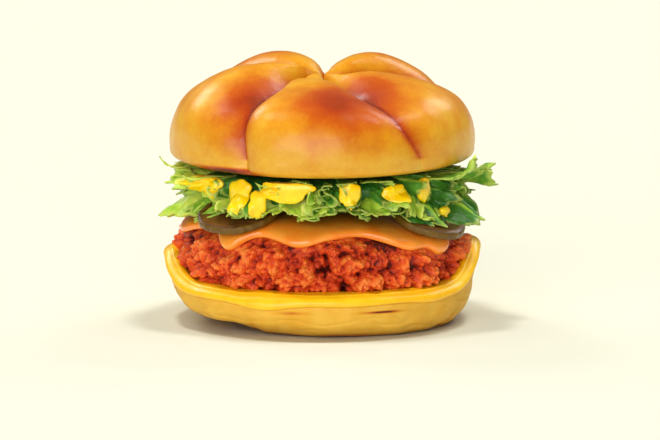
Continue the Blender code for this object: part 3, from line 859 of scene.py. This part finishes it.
heap = {
    "top": 57.1 * mm,
    "bottom": 43.6 * mm,
    "halfLength": 47.0 * mm,
    "halfDepth": 43.5 * mm,
    # the core lies a little inside, with a rough surface, and takes one shade of a leaf and the look
    # of one place along and across it
    "coreSegments": 240,
    "coreRings": 60,
    "coreInset": 2 * mm,
    "coreSwells": ((4 * mm, 2.0 * mm), (1.8 * mm, 0.8 * mm)),
    "coreShade": 1.0,
    "coreAlong": 0.6,
    "coreAcross": 0.6,
    "rootDepth": 10 * mm,
    "leafThickness": 0.55 * mm,
    "columns": 40,
    "rows": 24,
    "seed": 12,
    "backLeaves": 9,
    # azimuth, root height, length, half width, droop, bend, turn, ruffle
    "shownLeaves": (
        (-88, 52 * mm, 20 * mm, 10 * mm, -18, -14, 12, 2.6 * mm),
        (-80, 48 * mm, 23 * mm, 11 * mm, 2, 45, -10, 2.6 * mm),
        (-66, 54 * mm, 22 * mm, 10 * mm, -10, 22, -14, 2.6 * mm),
        (-58, 50 * mm, 20 * mm, 9 * mm, 10, 48, 14, 2.4 * mm),
        (-41, 53 * mm, 19 * mm, 8 * mm, 8, 52, -16, 2.4 * mm),
        (-27, 52 * mm, 18 * mm, 9 * mm, 8, 48, 14, 2.4 * mm),
        (-9, 52 * mm, 17 * mm, 10 * mm, 6, 46, -8, 2.4 * mm),
        (8, 54 * mm, 17 * mm, 9 * mm, 2, 46, 10, 2.4 * mm),
        (24, 52 * mm, 18 * mm, 10 * mm, 8, 48, -12, 2.4 * mm),
        (40, 54 * mm, 19 * mm, 9 * mm, 4, 50, 12, 2.4 * mm),
        (52, 50 * mm, 21 * mm, 10 * mm, 14, 52, -10, 2.6 * mm),
        (66, 54 * mm, 25 * mm, 11 * mm, -15, 6, 12, 2.8 * mm),
        (74, 48 * mm, 26 * mm, 12 * mm, 6, 50, -12, 2.8 * mm),
        (90, 51 * mm, 25 * mm, 10 * mm, -13, 14, 10, 2.8 * mm),
    ),
    # a leaf's broad waves: height, waves across, shift of phase, and slant along the leaf
    "waves": ((0.95, 3.6, 1.0, 1.6), (0.45, 7.5, 2.3, 3.0)),
    "crumpleHeight": 3.0 * mm,
    "smallLeaves": 60,
    # the small leaves' root height and droop, tier by tier
    "tiers": ((47 * mm, 10), (51 * mm, 2), (55 * mm, -8)),
    # the shown leaves get paler from the second azimuth to the first, down to this share of their shade
    "palerAzimuths": (-85, -30),
    "leftShade": 0.1,
    # the height below which leaves are pressed together, in front and at the sides, and how much of
    # their drop is left there
    "frontHem": 47.0 * mm,
    "sideHem": 40.0 * mm,
    "pressed": 0.42,
    "hemWaver": 3.5 * mm,
    # gaps to the orange sauce and to the upper bun, and how much the second wavers
    "aboveSauce": 1.0 * mm,
    "underBun": 1.1 * mm,
    "underBunWaver": 0.4 * mm,
    # the radius past which nothing holds the leaves down, and the width over which they come free
    "freeFrom": 56.5 * mm,
    "freeOver": 3.0 * mm,
}


def heapPoint(azimuth, share):
    polar = share * math.pi
    reach = ovalReach(azimuth, heap["halfLength"], heap["halfDepth"]) - heap["coreInset"]
    middle, half = (heap["top"] + heap["bottom"]) / 2, (heap["top"] - heap["bottom"]) / 2
    side = math.copysign(abs(math.cos(polar)) ** 0.4, math.cos(polar))
    out = reach * math.sin(polar) ** 0.4
    point = standing(azimuth, out, middle + half * side)
    out += unevenness(point, heap["coreSwells"]) * math.sin(polar)
    marks = heap["coreShade"], heap["coreAlong"], heap["coreAcross"]
    return standing(azimuth, out, point.z), *marks


def sauceTop(azimuth, radius):
    # the height that leaves keep above the orange sauce
    reach = ovalReach(azimuth, fillet["halfLength"], fillet["halfDepth"])
    clear = orange["gap"] + orange["thickness"] + heap["aboveSauce"]
    share, power = radius / (reach + clear), fillet["upperPower"]
    if share >= 1:
        return 0.0
    rise = (fillet["halfHeight"] + clear) * (1 - share**power) ** (1 / power)
    return fillet["middle"] + rise * thinning(azimuth, radius)


def keptBetweenLayers(point, ceiling):
    # under the upper bun, above the orange sauce, and pressed together below the hem
    radius = math.hypot(point.x, point.y)
    side = eased((abs(azimuthOf(point)) - 22) / 45)
    hem = mixed(heap["frontHem"], heap["sideHem"], side)
    hem += heap["hemWaver"] * noise.noise(standing(azimuthOf(point), 5.0, 0.7))
    hung = point.z if point.z > hem else mixed(hem, point.z, heap["pressed"])
    height = softLeast(ceiling, hung, 1.2 * mm)
    height = -softLeast(-sauceTop(azimuthOf(point), radius), -height, 0.8 * mm)
    free = eased((radius - heap["freeFrom"]) / heap["freeOver"])
    return Vector((point.x, point.y, mixed(height, hung, free)))


def leafPoint(leaf, along, across):
    # along runs from 0 at the root to 1 at the tip, and across from -1 to 1
    azimuth, root, length, halfWidth, droop, bend, turn, ruffle = leaf
    meanSlope = math.radians(droop + bend * along / 2)
    slope = math.radians(droop + bend * along)
    spread = halfWidth * (0.35 + 0.65 * math.sin(math.pi * (0.08 + 0.58 * along)))
    free = max(along**1.5, abs(across) ** 2.5 * (0.3 + 0.7 * along))
    phase = azimuth * 0.7 + root * 900
    wave = 0.0
    for waveHeight, waves, shift, slant in heap["waves"]:
        wave += waveHeight * math.sin(across * waves + shift * phase + slant * along)
    curl = 0.26 * math.sin(across * 17.0 + 3.1 * phase + 2.0 * math.sin(6 * along + phase))
    wave += curl * eased((free - 0.45) / 0.4)
    crumple = noise.noise(Vector((across * 1.9 + phase, along * 2.2, root * 400)))
    crumple += 0.3 * noise.noise(Vector((across * 5.0 + phase, along * 6.0, root * 400)))
    pleat = ruffle * (0.2 + 0.8 * free) * wave
    pleat += heap["crumpleHeight"] * crumple * (0.3 + 0.7 * along)
    jag = noise.noise(Vector((across * 4.0 + phase, 0, 0))) * 0.22
    jag += noise.noise(Vector((across * 13.0 + phase, 4, 0))) * 0.12
    reach = length * along * (1 - 0.2 * across**2 + jag * along)
    sideways = across * spread + 0.25 * ruffle * free * math.cos(across * 11.5 + phase)
    outward = Vector((0, -math.cos(meanSlope), -math.sin(meanSlope))) * reach
    normal = Vector((0, -math.sin(slope), math.cos(slope)))
    turning = Matrix.Rotation(math.radians(azimuth), 3, "Z")
    turning = turning @ Matrix.Rotation(math.radians(turn), 3, "Y")
    rim = math.hypot(
        heap["halfLength"] * math.sin(math.radians(azimuth)),
        heap["halfDepth"] * math.cos(math.radians(azimuth)),
    )
    placed = turning @ (outward + normal * pleat + Vector((sideways, 0, 0)))
    placed += standing(azimuth, rim - heap["rootDepth"], root)
    ceiling = crown["underside"] - heap["underBun"] - heap["underBunWaver"] * math.sin(7 * azimuth)
    return keptBetweenLayers(placed, ceiling)


def backLeaves():
    draw = random.Random(heap["seed"])
    found = []
    for number in range(heap["backLeaves"]):
        azimuth = 106 + 150 * (number + 0.5) / heap["backLeaves"] + draw.uniform(-4, 4)
        found.append(
            (
                azimuth,
                draw.uniform(47, 53) * mm,
                draw.uniform(16, 22) * mm,
                draw.uniform(9, 12) * mm,
                draw.uniform(-10, 20),
                draw.uniform(20, 60),
                draw.uniform(-16, 16),
                draw.uniform(1.6, 2.4) * mm,
            )
        )
    return found


def smallLeaves():
    draw = random.Random(heap["seed"] + 1)
    found = []
    for number in range(heap["smallLeaves"]):
        root, droop = heap["tiers"][number % len(heap["tiers"])]
        sideways = number * 360 / heap["smallLeaves"] + draw.uniform(-5, 5)
        found.append(
            (
                sideways,
                root + draw.uniform(-1.5, 1.5) * mm,
                draw.uniform(13, 17) * mm,
                draw.uniform(6, 11) * mm,
                droop + draw.uniform(-12, 14),
                draw.uniform(-10, 80),
                draw.choice((-1, 1)) * draw.uniform(5, 75),
                draw.uniform(1.8, 3.2) * mm,
            )
        )
    return found


def makeLeaves(name, leaves, shadeSeed):
    draw = random.Random(shadeSeed)
    form = bmesh.new()
    shadeLayer = form.verts.layers.float.new("shade")
    alongLayer = form.verts.layers.float.new("along")
    acrossLayer = form.verts.layers.float.new("across")
    palest, full = heap["palerAzimuths"]
    for leaf in leaves:
        made = bmesh.ops.create_grid(
            form, x_segments=heap["columns"], y_segments=heap["rows"], size=1
        )
        paler = eased((leaf[0] - palest) / (full - palest))
        shade = draw.uniform(0, 0.9) * mixed(heap["leftShade"], 1, paler)
        for vertex in made["verts"]:
            along, across = (vertex.co.y + 1) / 2, vertex.co.x
            vertex.co = leafPoint(leaf, along, across)
            vertex[shadeLayer] = shade
            vertex[alongLayer] = along
            vertex[acrossLayer] = across
    piece = finishedPiece(name, form)
    wall = piece.modifiers.new("thickness", "SOLIDIFY")
    wall.thickness = heap["leafThickness"]
    wall.offset = 0
    return piece


leafLook = Look("lettuceLeaf", 0.38, specular=0.35, coat=0.15, coatRoughness=0.15, glow=0.25)
spread = leafLook.worked("ABSOLUTE", leafLook.mark("across"))
edgeOfLeaf = leafLook.worked("MAXIMUM", leafLook.mark("along"), spread)
ribs = leafLook.worked("MAXIMUM", leafLook.worked("SUBTRACT", 0.09, spread), 0.0)
greenness = leafLook.worked("MULTIPLY", leafLook.mark("shade"), 0.75)
greenness = leafLook.worked("MULTIPLY_ADD", ribs, -6.0, greenness)
greenness = leafLook.worked("MULTIPLY_ADD", leafLook.mark("along"), 0.35, greenness)
greenness = leafLook.worked("MULTIPLY_ADD", leafLook.grain(4 * mm, 3), 0.5, greenness)
leafColour = leafLook.ramp(
    greenness,
    (0.30, seen(230, 236, 120)),
    (0.60, seen(170, 206, 60)),
    (0.90, seen(88, 154, 46)),
    (1.30, seen(30, 88, 30)),
)
rim = leafLook.worked("MULTIPLY", leafLook.worked("SUBTRACT", edgeOfLeaf, 0.90), 8.0)
rim = leafLook.worked("MINIMUM", leafLook.worked("MAXIMUM", rim, 0.0), 0.4)
leafLook.colour(leafLook.blended(rim, leafColour, (*seen(226, 236, 112), 1)))
leafLook.bumps(leafLook.grain(1.7 * mm, 3), 0.55, 0.7 * mm)

frontLeaves = makeLeaves("frontLeaves", heap["shownLeaves"], 3)
rearLeaves = makeLeaves("rearLeaves", backLeaves(), 4)
fillLeaves = makeLeaves("fillLeaves", smallLeaves()[::2], 5)
moreLeaves = makeLeaves("moreLeaves", smallLeaves()[1::2], 6)
heapCore = mouldedBall(
    "heapCore", heap["coreSegments"], heap["coreRings"], heapPoint, ("shade", "along", "across")
)
for piece in (frontLeaves, rearLeaves, fillLeaves, moreLeaves, heapCore):
    putOn(piece, "lettuce", leafLook.material)
print("lettuce made")

# Yellow dressing on the lettuce

dressing = {
    # azimuth, radius, height, half width, half height
    "patches": (
        (-58, 50.0 * mm, 53.6 * mm, 9.0 * mm, 3.8 * mm),
        (-39, 49.0 * mm, 52.0 * mm, 5.6 * mm, 5.4 * mm),
        (-17, 49.5 * mm, 54.4 * mm, 11.0 * mm, 3.8 * mm),
        (-29, 50.0 * mm, 49.5 * mm, 3.6 * mm, 4.6 * mm),
        (12, 50.0 * mm, 53.6 * mm, 4.2 * mm, 4.2 * mm),
        (34, 49.5 * mm, 52.6 * mm, 5.6 * mm, 3.0 * mm),
        (50, 50.0 * mm, 53.0 * mm, 4.0 * mm, 4.0 * mm),
        (61, 53.0 * mm, 43.5 * mm, 3.4 * mm, 1.6 * mm),
        (122, 49.0 * mm, 53.4 * mm, 6.0 * mm, 3.6 * mm),
        (170, 48.0 * mm, 53.6 * mm, 8.0 * mm, 3.4 * mm),
        (-135, 49.0 * mm, 53.4 * mm, 6.5 * mm, 3.8 * mm),
    ),
    "thickness": 1.7 * mm,
    # how much a patch's outline wavers, and how far it stands off the leaves
    "ragged": 0.40,
    "lift": 0.9 * mm,
    # how far under and over its radius a patch may follow the leaves
    "sinks": 3 * mm,
    "rises": 6 * mm,
    # the leaves under a point are felt for here: degrees aside and millimetres up
    "feelers": ((0, 0), (1.6, 0), (-1.6, 0), (0, 1.4), (0, -1.4)),
    "smoothings": 4,
}


def leafTree():
    # all leaf faces, to lay the dressing on
    points, faces = [], []
    for piece in (frontLeaves, rearLeaves, fillLeaves, moreLeaves, heapCore):
        start = len(points)
        points += [vertex.co.copy() for vertex in piece.data.vertices]
        faces += [[start + corner for corner in face.vertices] for face in piece.data.polygons]
    return BVHTree.FromPolygons(points, faces)


def leafRadius(tree, azimuth, level, reach):
    # where most leaves end at that place, so that a patch spans the hollows between them
    radii = []
    for aside, above in dressing["feelers"]:
        origin = standing(azimuth + aside, 80 * mm, level + above * mm)
        hit = tree.ray_cast(origin, -standing(azimuth + aside, 1, 0))[0]
        radii.append(math.hypot(hit.x, hit.y) if hit else reach)
    furthest = sorted(radii)[-3:]
    lying = sum(furthest) / len(furthest)
    return min(max(lying, reach - dressing["sinks"]), reach + dressing["rises"])


def makeDressing():
    tree = leafTree()
    form = bmesh.new()
    for azimuth, reach, height, halfWidth, halfHeight in dressing["patches"]:
        made = bmesh.ops.create_uvsphere(form, u_segments=64, v_segments=32, radius=1)
        for vertex in made["verts"]:
            sideways, up, out = vertex.co
            turn = math.atan2(up, sideways)
            aroundEdge = Vector((math.cos(turn) * 1.4, math.sin(turn) * 1.4, azimuth))
            ragged = 1 + dressing["ragged"] * noise.noise(aroundEdge)
            sag = 1 + 0.5 * max(0, -up) * (0.5 + noise.noise(Vector((sideways * 3, azimuth, 0))))
            turned = azimuth + math.degrees(sideways * ragged * halfWidth / reach)
            level = height + up * ragged * sag * halfHeight
            level = softLeast(crown["underside"] - 0.6 * mm, level, 0.4 * mm)
            lying = leafRadius(tree, turned, level, reach)
            thick = dressing["thickness"] * (out if out > 0 else out * 1.2)
            vertex.co = standing(turned, lying + dressing["lift"] + thick, level)
        for _ in range(dressing["smoothings"]):
            bmesh.ops.smooth_vert(
                form, verts=made["verts"], factor=0.5, use_axis_x=True, use_axis_y=True, use_axis_z=True
            )
    bmesh.ops.recalc_face_normals(form, faces=form.faces)
    return finishedPiece("dressing", form)


dressingPiece = makeDressing()
wetYellow = Look("yellowDressing", 0.28, coat=0.25, coatRoughness=0.08, glow=0.06)
wetYellow.colour(
    wetYellow.ramp(wetYellow.grain(4 * mm, 2), (0.35, seen(252, 204, 0)), (0.65, seen(255, 222, 6)))
)
putOn(dressingPiece, "lettuce", wetYellow.material)
print("dressing made")

# Floor, light and camera

studio = {
    "floorSize": 20.0,
    "distance": 6.0,
    "elevation": 9.0,
    # the picture is 660 pixels of 0.365 mm wide
    "frameWidth": 660 * 0.365 * mm,
    "aim": (2.9 * mm, 0.0, 36.2 * mm),
    "sensorWidth": 36,
    # azimuth the light comes from, elevation, strength, angle, and whether it shows in the gloss
    "suns": (
        (-90, 78, 1.4, 9, False),
        (90, 78, 1.4, 9, False),
        (-104, 62, 0.3, 16, True),
        (104, 62, 0.3, 16, True),
        (-140, 36, 0.75, 24, True),
        (140, 36, 0.6, 24, True),
        (-14, 7, 3.1, 60, True),
    ),
    "sunColour": (1.0, 0.98, 0.94),
    "floorColour": (0.665, 0.665, 0.56),
    "worldColour": (1.0, 0.99, 0.93),
    "ambient": 0.105,
}

form = bmesh.new()
bmesh.ops.create_grid(form, x_segments=1, y_segments=1, size=studio["floorSize"] / 2)
floor = finishedPiece("floor", form)
floorLook = bpy.data.materials.new("paleFloor")
floorLook.use_nodes = True
floorShader = floorLook.node_tree.nodes["Principled BSDF"]
floorShader.inputs["Base Color"].default_value = (*studio["floorColour"], 1)
floorShader.inputs["Roughness"].default_value = 1.0
floorShader.inputs["Specular IOR Level"].default_value = 0.0
floor.data.materials.append(floorLook)

for azimuth, elevation, strength, angle, glossy in studio["suns"]:
    light = bpy.data.lights.new("softSun", "SUN")
    light.energy = strength
    light.angle = math.radians(angle)
    light.color = studio["sunColour"]
    sun = bpy.data.objects.new("softSun", light)
    sun.visible_glossy = glossy
    raised = math.radians(elevation)
    direction = -standing(azimuth, math.cos(raised), math.sin(raised))
    sun.rotation_euler = direction.to_track_quat("-Z", "Y").to_euler()
    bpy.context.scene.collection.objects.link(sun)

world = bpy.data.worlds.new("creamWorld")
world.use_nodes = True
background = world.node_tree.nodes["Background"]
background.inputs["Color"].default_value = (*studio["worldColour"], 1)
background.inputs["Strength"].default_value = studio["ambient"]
bpy.context.scene.world = world
bpy.context.scene.view_settings.view_transform = "Standard"

lens = bpy.data.cameras.new("camera")
lens.sensor_width = studio["sensorWidth"]
lens.lens = studio["sensorWidth"] * studio["distance"] / studio["frameWidth"]
lens.clip_end = 20
camera = bpy.data.objects.new("camera", lens)
tilt = math.radians(studio["elevation"])
away = Vector((0, -math.cos(tilt), math.sin(tilt))) * studio["distance"]
camera.location = Vector(studio["aim"]) + away
camera.rotation_euler = (math.pi / 2 - tilt, 0, 0)
bpy.context.scene.collection.objects.link(camera)
bpy.context.scene.camera = camera
print("studio made")
